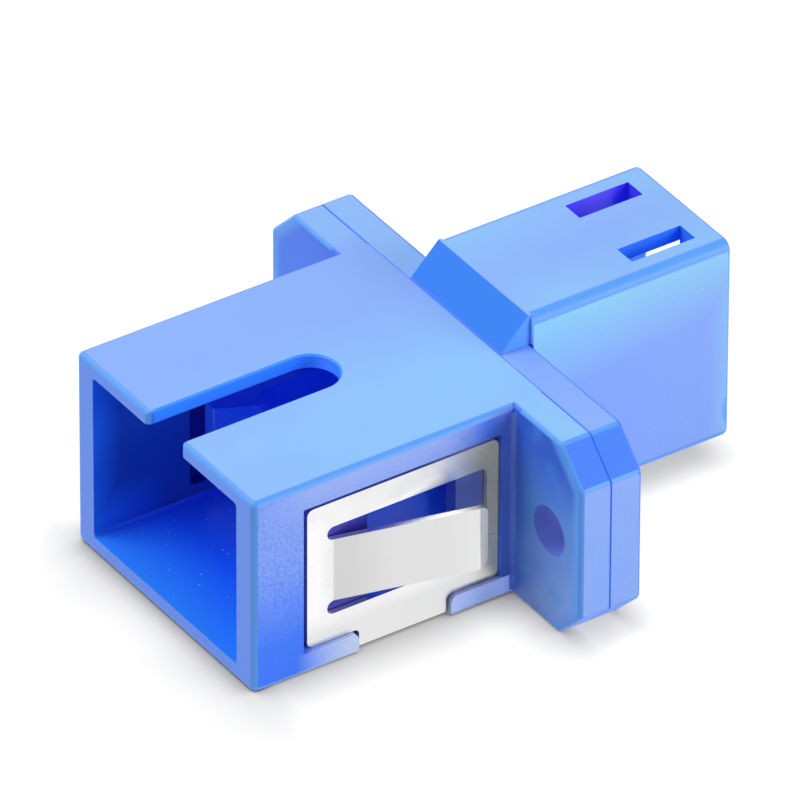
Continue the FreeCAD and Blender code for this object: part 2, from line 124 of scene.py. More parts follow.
class Finish:
    """A material, or the surround, being built: its node tree and the shorthand for its nodes."""

    def __init__(self, owner):
        self.owner = owner
        owner.use_nodes = True
        self.tree = owner.node_tree
        self.tree.nodes.clear()

    def node(self, kind, settings=None, inputs=None, output=0):
        """Adds a node, its settings first, then its sockets' values or links; gives one output."""
        made = self.tree.nodes.new(kind)
        for name, value in (settings or {}).items():
            setattr(made, name, value)
        for key, value in (inputs or {}).items():
            if isinstance(value, Socket):
                self.tree.links.new(value.output, made.inputs[key])
            else:
                made.inputs[key].default_value = value
        return None if output is None else Socket(self, made.outputs[output])

    def place(self):
        """The point of the surface, in metres."""
        return self.node("ShaderNodeTexCoord", output="Object")

    def axes(self, kind, scale=1.0):
        """The three numbers of the surface's point or normal."""
        whole = self.node("ShaderNodeTexCoord", output=kind)
        return [scale * self.node("ShaderNodeSeparateXYZ", {}, {0: whole}, output=i) for i in range(3)]

    def specks(self, per_mm, radius):
        """Round dust specks, radius in millimetres, one in every few cells."""
        spot = self.node("ShaderNodeMapping", {}, {"Vector": self.place(), "Scale": (per_mm / MM,) * 3})
        near = self.node("ShaderNodeTexVoronoi", {}, {"Vector": spot, "Scale": 1.0}, output="Distance")
        cell = self.node("ShaderNodeTexVoronoi", {}, {"Vector": spot, "Scale": 1.0}, output="Color")
        pick = self.node("ShaderNodeSeparateColor", {}, {"Color": cell})
        return near.below(radius * per_mm) * pick.above(SPECK_PICK)

    def ray(self, name):
        return self.node("ShaderNodeLightPath", output="Is %s Ray" % name)

    def seen(self):
        """One for what the camera sees, straight, mirrored or through clear matter."""
        return self.ray("Camera").most(self.ray("Glossy")).most(self.ray("Transmission"))

    def noise(self, per_mm, detail=2.0, stretch=(1, 1, 1), offset=(0, 0, 0)):
        """Cloudy values round 0.5, per_mm cells to the millimetre, drawn out where stretch is small."""
        scale = [s * per_mm / MM for s in stretch]
        moved = {"Vector": self.place(), "Scale": scale, "Location": offset}
        spot = self.node("ShaderNodeMapping", {}, moved)
        return self.node("ShaderNodeTexNoise", {}, {"Vector": spot, "Scale": 1.0, "Detail": detail})

    def rescale(self, value, low, high, to_low=0.0, to_high=1.0):
        """A value carried from one range to another and held inside it."""
        inputs = {"Value": value, "From Min": low, "From Max": high, "To Min": to_low, "To Max": to_high}
        return self.node("ShaderNodeMapRange", {"clamp": True}, inputs)

    def blend(self, factor, first, second):
        """Mix of two colours."""
        inputs = {0: factor, 6: first, 7: second}
        return self.node("ShaderNodeMix", {"data_type": "RGBA"}, inputs, output=2)

    def layers(self, colour, rows):
        """A colour with others laid over it in turn, each where its mask says."""
        for where, there in rows:
            colour = self.blend(where, colour, there)
        return colour

    def bump(self, height, depth, strength=1.0):
        return self.node("ShaderNodeBump", {}, {"Height": height, "Distance": depth, "Strength": strength})

    def painted_glow(self, colour):
        """Inputs of a painted glow, too faint for the renderer to treat as a lamp."""
        self.owner.cycles.emission_sampling = "NONE"
        return {"Emission_Color": colour, "Emission_Strength": 1.0}

    def principled(self, **inputs):
        named = {name.replace("_", " "): value for name, value in inputs.items()}
        return self.done(self.node("ShaderNodeBsdfPrincipled", {}, named))

    def done(self, shader, output="ShaderNodeOutputMaterial"):
        self.node(output, {}, {"Surface": shader}, output=None)
        return self.owner


# ---------------------------------------------------------------- sizes of the pieces

# All are in millimetres, in the frame's own axes.
BODY_SIDE = 6.475         # outer side of the SC body
BODY_TOP = 4.65           # top of SC body and flange
LATCH_BOX_SIDE = 3.45     # the box round the LC port
LATCH_BOX_TOP = 6.08
LATCH_BOX_LOW = -3.64
LATCH_BOX_MOUTH = 12.68
FLANGE_BACK = 2.98
FLANGE_END = 11.25
FLANGE_CUT = 14.35        # |x| + |z| along the cut corners of the flange
DIAGONAL = 0.707          # makes that sum a distance square to the cut
EAR_GAP = 0.4             # how far beside the body the ears of the flange start
RIM_REACH = 0.4           # how far back their rounded front rim reaches
WELD = 1.45               # seam between the two halves of the flange
SLOPE_START = 1.58        # foot of the slope in front of the latch box
WEDGE = 0.35              # width of the step beside it
SC_MOUTH = -12.56
KEY_HALF = 1.225          # keyway from its middle to its walls
KEY_DEPTH = 0.7           # how far its walls reach down
KEY_LIP = 0.35            # rounded ends of the tongues beside it
LATCH_HALF = 2.41         # latch windows from the middle to their outer walls
LATCH_START = 6.0
LATCH_FLOOR = 3.9
LEDGE = -3.63             # ledge of the lugs under the clip
RECESS = (5.9, 6.2)       # |x| of the recess floor behind the clip
WINDOW = (5.3, 6.2)       # |x| of the hook windows' walls
WINDOW_HALF = 3.4         # |z| up to which they reach
WINDOW_RUN = (-9.0, -0.5)
SCREW_AT = 9.0
SCREW_R = 1.10
PORT_MARGIN = 0.08        # how far the port walls stand outside the opening boxes

# how far from its place a point still counts as on a face
TRACE = 0.01
HAIR = 0.02
NEAR = 0.05
BY = 0.10
SKIN = 0.15

# share of the normal along an axis
FLAT = (0.95, 0.995)      # from where to where a face comes to count as square to the axis
LEANING = 0.3             # the slope in front of the latch box has more than this
TURNED = (0.12, 0.95)     # rounded rim of the flange
FACETS = (0.06, 0.93)     # rounded corners between its cut and straight edges, |x| less |z|


# ---------------------------------------------------------------- colours

NONE = (0, 0, 0, 1)
DEEP = (0.052, 0.226, 1.00, 1)          # plain dye where no painted sheen is laid on, as on the cut corners
SLOPE = (0.001, 0.215, 0.94, 1)         # a deeper copy of the dye for the slope in front of the latch box, set to the light there
# a lighter copy of the dye for the keyway walls, set to the light there
KEY_WALL = (0.040, 0.290, 1.00, 1)
PALE_SHEEN = (0.280, 0.455, 1.00, 1)          # painted sheen: the dye with the white reflection of the spark-textured skin laid into it
CYAN_SHEEN = (0.320, 0.750, 1.00, 1)    # that painted sheen where it turns towards cyan with the light
SIDE_DEEP = (0.034, 0.190, 1.00, 1)     # copies of the dye and the painted sheen for the body sides, set to the light there
SIDE_SHEEN = (0.242, 0.393, 1.00, 1)
SHEEN_BAND = (0.390, 0.520, 1.00, 1)         # a thicker painted sheen beside the long upper edge
LUG = (0.620, 0.720, 1.00, 1)           # painted light, palest of all, on the lugs that carry the clip
EDGE_HIGHLIGHT = (0.110, 0.380, 1.00, 1)         # painted highlight on the rounded outer edges
FACE_HIGH = (0.038, 0.145, 0.75, 1)     # flange front from top to bottom: painted shade above, lighter below
FACE_MID = (0.105, 0.295, 0.81, 1)
FACE_LOW = (0.215, 0.425, 1.00, 1)
FACE_TEAL = (0.070, 0.340, 0.84, 1)     # clouds on it
FACE_WEST = (0.055, 0.220, 1.00, 1)     # its half towards -X, an even copy set to the light that falls there
CORNER_SHADE = (0.125, 0.250, 0.860, 1)         # painted shade in the corner between body side and flange
CORE = (0.008, 0.120, 1.00, 1)          # inside of the ports
CORE_MOUTH = (0.030, 0.270, 1.00, 1)    # painted light where it meets the SC mouth
CORE_WALL = (0.012, 0.070, 0.42, 1)     # painted shade on its side walls
CORE_WEST = (0.110, 0.060, 1.00, 1)     # inside of the LC port, painted shade in violet towards -X
# painted light inside the LC port towards +X
CORE_EAST = (0.055, 0.290, 1.00, 1)
SHADED = (0.030, 0.030, 0.370, 1)       # painted shade in the recess behind the clip
SHADED_BACK = (0.240, 0.330, 0.820, 1)  # the same painted shade, lighter towards the flange
# painted light on the walls of the screw holes
SCREW_WALL = (0.220, 0.300, 0.810, 1)
SPECK = (0.300, 0.550, 1.00, 1)         # dust in the ports
PORT_GLOW = (0.001, 0.006, 0.060, 1)         # painted glow in the ports, standing for light through their walls
KEY_GLOW = (0.004, 0.030, 0.240, 1)     # the same painted glow in the keyway, whose walls are thin
LUG_GLOW = (0.110, 0.160, 0.360, 1)     # and a painted glow on the lug beside the flange
INSERT = ((0.016, 0.125, 1.00, 1), (0.034, 0.175, 1.00, 1))
# painted shade towards the top of the insert
INSERT_HIGH = (0.003, 0.050, 0.70, 1)
SHEET = ((0.78, 0.78, 0.77, 1), (0.86, 0.86, 0.85, 1))
SHEET_FRONT = (0.89, 0.89, 0.88, 1)     # painted light on the bar of the clip's frame near the SC mouth
SHEET_LOW = (0.755, 0.755, 0.75, 1)     # painted shade on the bar below
SHEET_WARM = (1.0, 0.97, 0.84, 1)       # painted reflection: a warm tint that takes back the blue the upper bar mirrors
SHEET_FLANGE = (1.0, 0.91, 0.55, 1)     # the same, stronger, right beside the flange, where it paints a dark grey reflection
TAB_CREASE = (0.62, 0.62, 0.62, 1)      # painted reflection on the tabs, greyer than the frame, from their crease to their end
TAB = (0.71, 0.71, 0.71, 1)
TAB_END = (0.75, 0.75, 0.745, 1)
TAB_LIP = (1.0, 0.93, 0.70, 1)          # painted reflection on the side of a tab that faces the flange, taking back the blue it mirrors
NICKEL = ((0.70, 0.67, 0.60, 1), (0.78, 0.75, 0.68, 1))
CERAMIC = ((0.84, 0.83, 0.78, 1), (0.90, 0.89, 0.85, 1))


# ---------------------------------------------------------------- finishes

# cells to the millimetre and detail of the cloudy patterns
SHEEN_CLOUDS = (0.22, 3.0)
FACE_CLOUDS = (0.45, 2.0)
SPARKS = (9.0, 1.0)
GRAIN = (7.0, 3.0)
FINE_GRAIN = (22.0, 1.0)
INSERT_CLOUDS = (0.4, 3.0)
INSERT_GRAIN = (9.0, 2.0)
ROLLED = (14.0, 2.0)
SHEET_CLOUDS = (0.5, 2.0)
TURNING_MARKS = (30.0, 1.0)
CERAMIC_CLOUDS = (1.2, 2.0)
CLOUD_SPREAD = (0.3, 0.7)  # stretch of such a pattern that a blend of two colours uses
ALONG_Y = (1, 0.06, 1)    # draws a pattern out along the sheet
ROUND_Y = (0.02, 1, 0.02)  # and round the barrel

OUTER_ROUGH = 0.42
CORE_ROUGH = 0.22         # roughness that the polished cores leave
HOUSING_IOR = 1.42
INSERT_IOR = 1.45
CERAMIC_IOR = 2.1
SPECK_R = 0.035
SPECK_PICK = 0.6          # cells under this hold none
SPECK_PITCH = 3.2         # cells of the dust to the millimetre in the ports, and on the insert
INSERT_SPECK_PITCH = 2.2
TOP_SHEEN = 0.9
RIM_SHEEN = 0.36           # painted sheen on the rim of the SC mouth
CORNER_CLEAR = 0.88       # share of the painted sheen taken off the body side beside the flange, a painted shade
SPARK_DEPTH = 2.4         # how strongly the sparks show in the painted sheen of the body side
FAINT_RELIEF = 0.5        # strength of the bumps on insert and barrel


class Spot:
    """Where a point of the housing lies, in millimetres, and which way its surface faces."""

    def __init__(self, finish):
        self.finish = finish
        self.x, self.y, self.z = finish.axes("Object", 1 / MM)
        self.east = self.x.absolute()
        facing = finish.axes("Normal")
        self.lean = facing[1]
        self.tilt_x, self.tilt_y, self.tilt_z = (part.absolute() for part in facing)
        self.flat_x, self.flat_y, self.flat_z = (
            finish.rescale(tilt, *FLAT) for tilt in (self.tilt_x, self.tilt_y, self.tilt_z))
        self.flat = self.flat_x.most(self.flat_y.most(self.flat_z))
        self.body = self.y.below(-HAIR)
        self.latch_box = self.y.above(FLANGE_BACK - HAIR)

    def body_side(self):
        return self.flat_x * self.body * self.east.between(BODY_SIDE - SKIN, BODY_SIDE + 2 * BY)

    def step(self):
        """Narrow front faces of the latch box beside its slope."""
        front = self.y.between(FLANGE_BACK - NEAR, FLANGE_BACK + NEAR) * self.flat_y
        return front * self.east.below(LATCH_BOX_SIDE + NEAR) * self.z.above(BODY_TOP)

    def side(self):
        """Outer skin that faces left or right, and those narrow faces."""
        wide = self.east.above(BODY_SIDE - SKIN)
        box = self.latch_box * self.east.above(LATCH_BOX_SIDE - BY)
        return (self.flat_x * wide.most(box)).most(self.step())

    def top(self):
        """Outer skin that faces up or down."""
        low = self.latch_box * self.z.below(LATCH_BOX_LOW + BY)
        skin = self.flat_z * self.z.absolute().above(BODY_TOP - SKIN).most(low)
        return skin * (1 - self.z.between(BODY_TOP + SKIN, LATCH_BOX_TOP - BY))

    def flange_front(self):
        return self.flat_y * self.y.between(-NEAR, NEAR) * self.east.above(BODY_SIDE)

    def slope(self):
        leaning = self.lean.below(-LEANING) * self.tilt_z.above(LEANING)
        run = self.y.between(SLOPE_START - NEAR, FLANGE_BACK + HAIR)
        return run * self.z.above(BODY_TOP - HAIR) * leaning

    def keyway(self):
        """Walls of the keyway, round end included."""
        wall = self.body * self.east.below(KEY_HALF + BY)
        wall = wall * self.z.between(BODY_TOP - KEY_DEPTH, BODY_TOP - TRACE)
        return wall * self.y.above(SC_MOUTH + KEY_LIP)

    def rounds(self):
        """Rounded edges of body, latch box and flange, and the small side faces of the slope, which carry
        a painted highlight.
        """
        body = self.body * self.east.below(BODY_SIDE + TRACE / 2) * (1 - self.keyway())
        ear = self.east.above(BODY_SIDE + EAR_GAP)
        rim = ear * self.y.below(RIM_REACH) * self.tilt_y.between(*TURNED)
        facets = (self.tilt_x - self.tilt_z).absolute()
        corners = ear * facets.between(*FACETS) * self.tilt_y.below(TURNED[0])
        wedge = self.east.between(LATCH_BOX_SIDE - WEDGE, LATCH_BOX_SIDE - BY) * self.z.above(BODY_TOP)
        wedge = wedge * self.flat_x * self.y.between(SLOPE_START, FLANGE_BACK - HAIR)
        return ((1 - self.flat) * body.most(self.latch_box).most(rim).most(corners)).most(wedge)

    def screw_wall(self):
        """Walls of the screw holes, which carry painted light."""
        from_screw = self.east - SCREW_AT
        reach = (SCREW_R + HAIR) * (SCREW_R + HAIR)
        return (from_screw * from_screw + self.z * self.z).below(reach) * (1 - self.flat_y)

    def recess(self):
        """Floor of the recess behind the clip and walls of the hook windows, both in painted shade."""
        window = self.east.between(*WINDOW) * self.z.absolute().below(WINDOW_HALF)
        window = window * self.y.between(*WINDOW_RUN)
        return self.body * window.most(self.flat_x * self.east.between(*RECESS))

    def inside(self):
        """One within the two ports and the latch windows, which polished cores form."""
        cores = self.y.above(LATCH_START) * self.east.below(LATCH_HALF + NEAR)
        cores = cores * self.z.between(LATCH_FLOOR, LATCH_BOX_TOP - HAIR)
        for opening in frame["record"]["physics"]["openings"]:
            low, high = ([value / MM for value in shaded_corner] for shaded_corner in opening["box_m"])
            within = (self.y.below if low[1] < 0 else self.y.above)(0.0)
            within = within * self.x.between(low[0] - PORT_MARGIN, high[0] + PORT_MARGIN)
            within = within * self.z.between(low[2] - PORT_MARGIN, high[2] + PORT_MARGIN)
            cores = cores.most(within)
        return cores


# Each ramp below is from, to and, where it isn't 0 to 1, the value at either end.

CLEAR_FRONT_Y = (-10.2, -7.8, 1.0, 0.0)     # painted shade: the painted sheen leaves the body side near the SC mouth, low down
CLEAR_FRONT_Z = (-2.7, 1.8)
CLEAR_CORNER_Y = (-3.4, -0.9)               # and beside the flange, a painted shade there too
SHEEN_LEVEL = 0.94
SHEEN_SWING = 0.2


def painted_sheen_amount(spot):
    """How much painted sheen, the white reflection of the textured skin, lies on the outer skin: full on
    its flat faces, none on rounds, slope and cut corners.
    """
    finish, y, z = spot.finish, spot.y, spot.z
    body_side = spot.body_side()
    front = finish.rescale(y, *CLEAR_FRONT_Y) * (1 - finish.rescale(z, *CLEAR_FRONT_Z))
    shaded_corner = finish.rescale(y, *CLEAR_CORNER_Y) * z.above(LEDGE)
    side = spot.side() * (1 - body_side * front.most(CORNER_CLEAR * shaded_corner))
    rim = spot.flat_y * y.below(SC_MOUTH + NEAR)
    clouds = finish.noise(*SHEEN_CLOUDS)
    sparks = 1 + SPARK_DEPTH * body_side * (finish.noise(*SPARKS) - 0.5)
    skin = (TOP_SHEEN * spot.top()).most(side * sparks).most(RIM_SHEEN * rim)
    return skin * (SHEEN_LEVEL + SHEEN_SWING * (clouds - 0.5))


# where the painted sheen turns cyan and lighter, following how light falls
BODY_TOP_GREEN_X = (-3.0, 3.0, 0.08, 0.5)
BODY_TOP_GREEN_Y = (-11.0, -4.0, 0.80, 1.15)
EAR_GREEN_X = (-6.5, -7.5, 0.0, 0.18)       # left ear of the flange
BACK_GREEN_X = (-5.0, 5.0, 0.35, 0.08)      # top of the flange behind the weld
BOX_TOP_GREEN_EAST = (0.5, 2.8, 0.14, 0.40)
BOX_TOP_GREEN_START = (4.5, 7.0, 0.10, 0.0)
BOX_TOP_GREEN_END = (9.0, LATCH_BOX_MOUTH, 0.0, 0.12)
BOX_SIDE_GREEN_Z = (2.0, 5.6)               # its line rises towards the LC mouth
BOX_SIDE_RISE = 0.15
BOX_SIDE_RISE_FROM = 6
BOX_SIDE_GREEN_END = (LATCH_BOX_MOUTH - 1.0, LATCH_BOX_MOUTH, 0.0, 0.5)


def sheen_hue(spot):
    """How far the painted sheen turns from violet towards cyan, following how light falls over the tops
    and the latch box side.
    """
    finish, x, y, z = spot.finish, spot.x, spot.y, spot.z
    ear = finish.rescale(x, *EAR_GREEN_X)
    body_top = (ear + finish.rescale(x, *BODY_TOP_GREEN_X)) * y.below(WELD)
    body_top = body_top * finish.rescale(y, *BODY_TOP_GREEN_Y)
    back_top = finish.rescale(x, *BACK_GREEN_X) * y.between(WELD, FLANGE_BACK)
    box_top = finish.rescale(spot.east, *BOX_TOP_GREEN_EAST) + finish.rescale(y, *BOX_TOP_GREEN_START)
    box_top = box_top + finish.rescale(y, *BOX_TOP_GREEN_END)
    risen = z - BOX_SIDE_RISE * (y - BOX_SIDE_RISE_FROM)
    box_side = finish.rescale(risen, *BOX_SIDE_GREEN_Z).most(finish.rescale(y, *BOX_SIDE_GREEN_END))
    tops = spot.top() * (body_top + back_top + box_top * spot.latch_box)
    return tops + spot.side() * spot.latch_box * box_side


FACE_MID_Z = (3.4, 1.0)
FACE_LOW_Z = (0.5, -4.0)
TEAL_CLOUDS = (0.52, 0.70, 0.0, 0.7)
TEAL_OFFSET = (3, 0, 1)
FACE_CORNER_EAST = (7.8, 6.8, 0.0, 0.4)     # painted shade again, deeper beside the body
END_MARGIN = 0.2                            # the painted highlight of the rim starts this far within the edges
CUT_MARGIN = 0.28
LIGHT_RIM = (-0.5, -0.1)


def flange_face(spot):
    """Colour of the flange's front: painted shade above and beside the body, lighter below, teal clouds,
    an even copy on its -X half and a painted highlight along the rim.
    """
    finish, x, z, east = spot.finish, spot.x, spot.z, spot.east
    teal = finish.rescale(finish.noise(*FACE_CLOUDS, offset=TEAL_OFFSET), *TEAL_CLOUDS)
    over_end = east - (FLANGE_END - END_MARGIN)
    over_cut = DIAGONAL * (east + z.absolute() - (FLANGE_CUT - CUT_MARGIN))
    return finish.layers(FACE_HIGH, (
        (finish.rescale(z, *FACE_MID_Z), FACE_MID),
        (finish.rescale(z, *FACE_LOW_Z), FACE_LOW),
        (teal, FACE_TEAL),
        (x.below(0.0), FACE_WEST),
        (finish.rescale(east, *FACE_CORNER_EAST), FACE_HIGH),
        (finish.rescale(over_end.most(over_cut), *LIGHT_RIM), EDGE_HIGHLIGHT),
    ))


MOUTH_FLOOR_Y = (-9.0, SC_MOUTH)            # painted light on the floor before the SC mouth
MOUTH_FLOOR_Z = (-1.5, -3.6)
MOUTH_WALLS_Y = (-11.3, SC_MOUTH, 0.0, 0.7)
VIOLET_X = (0.8, -0.8)
VIOLET_Z = (1.5, 3.5)


def port_colour(spot):
    """Colour inside the ports: painted light on the floor near the SC mouth, painted shade on the walls,
    the LC port in painted shade, violet towards -X, with dust specks.
    """
    finish = spot.finish
    mouth = finish.rescale(spot.y, *MOUTH_FLOOR_Y) * finish.rescale(spot.z, *MOUTH_FLOOR_Z)
    mouth = mouth.most(finish.rescale(spot.y, *MOUTH_WALLS_Y))
    colour = finish.blend(spot.flat_x * spot.body * (1 - mouth), CORE, CORE_WALL)
    colour = finish.blend(mouth, colour, CORE_MOUTH)
    violet = finish.rescale(spot.x, *VIOLET_X) * finish.rescale(spot.z, *VIOLET_Z)
    colour = finish.blend(spot.latch_box, colour, finish.blend(violet, CORE_EAST, CORE_WEST))
    return finish.blend(finish.specks(SPECK_PITCH, SPECK_R), colour, SPECK)


SHEEN_BAND_Z = (2.4, 4.2, 0.0, 0.7)              # band of painted sheen under the long upper edge of the body side
SHEEN_BAND_START_Y = (-12.3, -9.8)
SHEEN_BAND_END_Y = (-3.2, -1.2, 1.0, 0.0)
LUG_START_Y = (-10.5, -7.7)                 # painted light on the lugs, as far as the flange
LUG_END_Y = (-0.5, -0.2, 1.0, 0.2)
LUG_BACK = 0.4                              # how far within the body side they reach
CORNER_SHADE_Y = (-1.4, -0.5)
CORNER_SHADE_EAST = (BODY_SIDE - BY, BODY_SIDE + 0.3)
SHADED_Y = (-4.4, -1.8)


def housing_colour(spot, painted_sheen, inside):
    """Colour of the housing, from the plain skin to the regions that differ from it, most of them painted
    sheen, highlight, light or shade.
    """
    finish, y, z, east = spot.finish, spot.y, spot.z, spot.east
    body_side = spot.body_side()
    sheen_colour = finish.blend(body_side, finish.blend(sheen_hue(spot), PALE_SHEEN, CYAN_SHEEN), SIDE_SHEEN)
    beside_edge = finish.rescale(z, *SHEEN_BAND_Z) * finish.rescale(y, *SHEEN_BAND_START_Y)
    beside_edge = beside_edge * finish.rescale(y, *SHEEN_BAND_END_Y)
    lugs = z.below(LEDGE + NEAR) * finish.rescale(y, *LUG_START_Y) * finish.rescale(y, *LUG_END_Y)
    shaded_corner = body_side.most(1 - spot.flat) * east.between(*CORNER_SHADE_EAST)
    shaded_corner = shaded_corner * z.above(LEDGE) * finish.rescale(y, *CORNER_SHADE_Y) * y.below(0.0)
    return finish.layers(finish.blend(body_side, DEEP, SIDE_DEEP), (
        (painted_sheen, sheen_colour),
        (spot.slope(), SLOPE),
        (spot.keyway(), KEY_WALL),
        (spot.flange_front(), flange_face(spot)),
        (spot.rounds(), EDGE_HIGHLIGHT),
        (body_side * beside_edge, SHEEN_BAND),
        (spot.body * east.above(BODY_SIDE - LUG_BACK) * lugs, LUG),
        (shaded_corner, CORNER_SHADE),
        (inside, port_colour(spot)),
        (spot.recess(), finish.blend(finish.rescale(y, *SHADED_Y), SHADED, SHADED_BACK)),
        (spot.screw_wall(), SCREW_WALL),
    ))


LIT_LUG_Y = (-3.7, -3.2)                    # lug beside the flange, where a painted glow lifts it
# share of the painted glow on the narrow step faces
STEP_GLOW = 0.6
SKIN_RELIEF = (0.15, 0.35, 0.5)             # plain, where the painted sheen lies, and more on the body side
RELIEF_SHARES = (0.6, 0.4)                  # of the coarse and the fine grain
RELIEF_DEPTH = 0.045                        # millimetres
RELIEF_STRENGTH = 0.6
ROUGH_SWING = 0.10


def housing_plastic(name):
    """Dyed plastic: textured outer skin with a painted sheen, rounds with a painted highlight, slopes
    without sheen, polished port cores, painted glow in ports, keyway, lug and steps.
    """
    finish = Finish(bpy.data.materials.new(name))
    spot = Spot(finish)
    painted_sheen = painted_sheen_amount(spot)
    inside = spot.inside()
    body_side = spot.body_side()
    lit_lug = body_side * spot.z.below(LEDGE) * finish.rescale(spot.y, *LIT_LUG_Y)
    glow = finish.layers(NONE, (
        (inside, PORT_GLOW),
        (spot.keyway(), KEY_GLOW),
        (lit_lug.most(STEP_GLOW * spot.step()), LUG_GLOW),
    ))
    grain = finish.noise(*GRAIN)
    fine = finish.noise(*FINE_GRAIN)
    skin = SKIN_RELIEF[0] + SKIN_RELIEF[1] * painted_sheen + SKIN_RELIEF[2] * body_side
    relief = (RELIEF_SHARES[0] * grain + RELIEF_SHARES[1] * fine) * skin
    return finish.principled(
        Base_Color=housing_colour(spot, painted_sheen, inside),
        Roughness=OUTER_ROUGH + (CORE_ROUGH - OUTER_ROUGH) * inside + ROUGH_SWING * (grain - 0.5),
        IOR=HOUSING_IOR,
        Normal=finish.bump(relief, RELIEF_DEPTH * MM, RELIEF_STRENGTH),
        **finish.painted_glow(glow))


INSERT_HIGH_Z = (1.5, 3.2)
INSERT_ROUGH = 0.30
INSERT_SWING = 0.1
INSERT_RELIEF = 0.01                        # millimetres


def insert_plastic(name):
    """Plain moulded insert: smooth, a tone deeper than the housing, with a few specks, a painted shade
    towards its top and a painted glow.
    """
    finish = Finish(bpy.data.materials.new(name))
    _, _, z = finish.axes("Object", 1 / MM)
    grain = finish.noise(*INSERT_GRAIN)
    plain, light = INSERT
    colour = finish.layers(plain, (
        (finish.rescale(finish.noise(*INSERT_CLOUDS), *CLOUD_SPREAD), light),
        (finish.rescale(z, *INSERT_HIGH_Z), INSERT_HIGH),
        (finish.specks(INSERT_SPECK_PITCH, SPECK_R), SPECK),
    ))
    return finish.principled(
        Base_Color=colour,
        Roughness=INSERT_ROUGH + INSERT_SWING * (grain - 0.5),
        IOR=INSERT_IOR,
        Normal=finish.bump(grain, INSERT_RELIEF * MM, FAINT_RELIEF),
        **finish.painted_glow(PORT_GLOW))


TAB_LEAN = (0.04, 0.16)                     # the tabs lean, and nothing else on the sheet does
TAB_LEAN_MOST = 0.6
TAB_RISE_MOST = 0.3
LIP_LEAN = (0.02, 0.12)
NEAR_FLANGE = (-2.4, -0.8)                  # along Y, its line tipped by the height
NEAR_FLANGE_TIP = 0.17
TAB_START_Y = (-7.9, -5.8)
TAB_END_Y = (-3.8, -2.8)
FRONT_BAR_Y = (-8.7, -9.3)
FRONT_BAR_Z = (2.8, 2.0)
LOW_BAR_Z = (-2.6, -3.1)
UPPER_BAR_Y = (-4.2, -2.6)
UPPER_BAR_Z = (2.4, 2.9)
PLAIN_NEAR_FLANGE = 0.85                    # share that isn't metal there, and on the lips, so that the painted reflection shows
PLAIN_LIP = 0.8
SHEET_ROUGH = 0.30
SHEET_SWING = (0.12, 0.06)                  # for the rolled grain and the clouds
SHEET_RELIEF = 0.004                        # millimetres
SHEET_RELIEF_STRENGTH = 0.4


def spring_sheet(name):
    """Satin stainless sheet, rolled grain along its length; painted reflection and shade make the tabs
    greyer, the front bar brighter, the low bar duller and the sheet warmer and darker beside the flange.
    """
    finish = Finish(bpy.data.materials.new(name))
    _, y, z = finish.axes("Object", 1 / MM)
    facing = finish.axes("Normal")
    lean, rise = facing[1].absolute(), facing[2].absolute()
    grain = finish.noise(*ROLLED, stretch=ALONG_Y)
    cloud = finish.noise(*SHEET_CLOUDS)
    tab = finish.rescale(lean, *TAB_LEAN) * lean.below(TAB_LEAN_MOST) * rise.below(TAB_RISE_MOST)
    lip = tab * finish.rescale(facing[1], *LIP_LEAN)
    near_flange = finish.rescale(y + NEAR_FLANGE_TIP * z, *NEAR_FLANGE) * y.below(0.0) * (1 - tab)
    along_tab = finish.blend(finish.rescale(y, *TAB_START_Y), TAB_CREASE, TAB)
    along_tab = finish.blend(finish.rescale(y, *TAB_END_Y), along_tab, TAB_END)
    dull, bright = SHEET
    colour = finish.layers(dull, (
        (finish.rescale(cloud, *CLOUD_SPREAD), bright),
        (finish.rescale(y, *FRONT_BAR_Y) * finish.rescale(z.absolute(), *FRONT_BAR_Z), SHEET_FRONT),
        (finish.rescale(z, *LOW_BAR_Z), SHEET_LOW),
        (finish.rescale(y, *UPPER_BAR_Y) * finish.rescale(z, *UPPER_BAR_Z), SHEET_WARM),
        (near_flange, SHEET_FLANGE),
        (tab, along_tab),
        (lip, TAB_LIP),
    ))
    return finish.principled(
        Base_Color=colour,
        Metallic=1 - (PLAIN_NEAR_FLANGE * near_flange).most(PLAIN_LIP * lip),
        Roughness=SHEET_ROUGH + SHEET_SWING[0] * (grain - 0.5) + SHEET_SWING[1] * (cloud - 0.5),
        Normal=finish.bump(grain, SHEET_RELIEF * MM, SHEET_RELIEF_STRENGTH))


BARREL_ROUGH = 0.22
BARREL_SWING = 0.1
BARREL_RELIEF = 0.002                       # millimetres
CERAMIC_ROUGH = 0.12
CERAMIC_SWING = 0.05


def plated_metal(name):
    """Nickel-plated barrel with turning marks round its axis."""
    finish = Finish(bpy.data.materials.new(name))
    marks = finish.noise(*TURNING_MARKS, stretch=ROUND_Y)
    return finish.principled(
        Base_Color=finish.blend(marks, *NICKEL),
        Metallic=1.0,
        Roughness=BARREL_ROUGH + BARREL_SWING * marks,
        Normal=finish.bump(marks, BARREL_RELIEF * MM, FAINT_RELIEF))


def polished_ceramic(name):
    """White zirconia, smooth and glossy, faintly clouded."""
    finish = Finish(bpy.data.materials.new(name))
    cloud = finish.noise(*CERAMIC_CLOUDS)
    return finish.principled(
        Base_Color=finish.blend(cloud, *CERAMIC),
        Roughness=CERAMIC_ROUGH + CERAMIC_SWING * cloud,
        IOR=CERAMIC_IOR)


finishes = {
    "housing_blue": housing_plastic("housing_blue"),
    "insert_blue": insert_plastic("insert_blue"),
    "spring_steel": spring_sheet("spring_steel"),
    "barrel_metal": plated_metal("barrel_metal"),
    "zirconia": polished_ceramic("zirconia"),
}


def dress_nodes():
    """Each CAD piece takes the finish that the record names for it."""
    slots = {part["node"]: part["material_slot"] for part in frame["record"]["subparts"]}
    for node, piece in frame["nodes"].items():
        piece.data.materials.clear()
        piece.data.materials.append(finishes[slots[node]])


dress_nodes()


# ---------------------------------------------------------------- floor and light

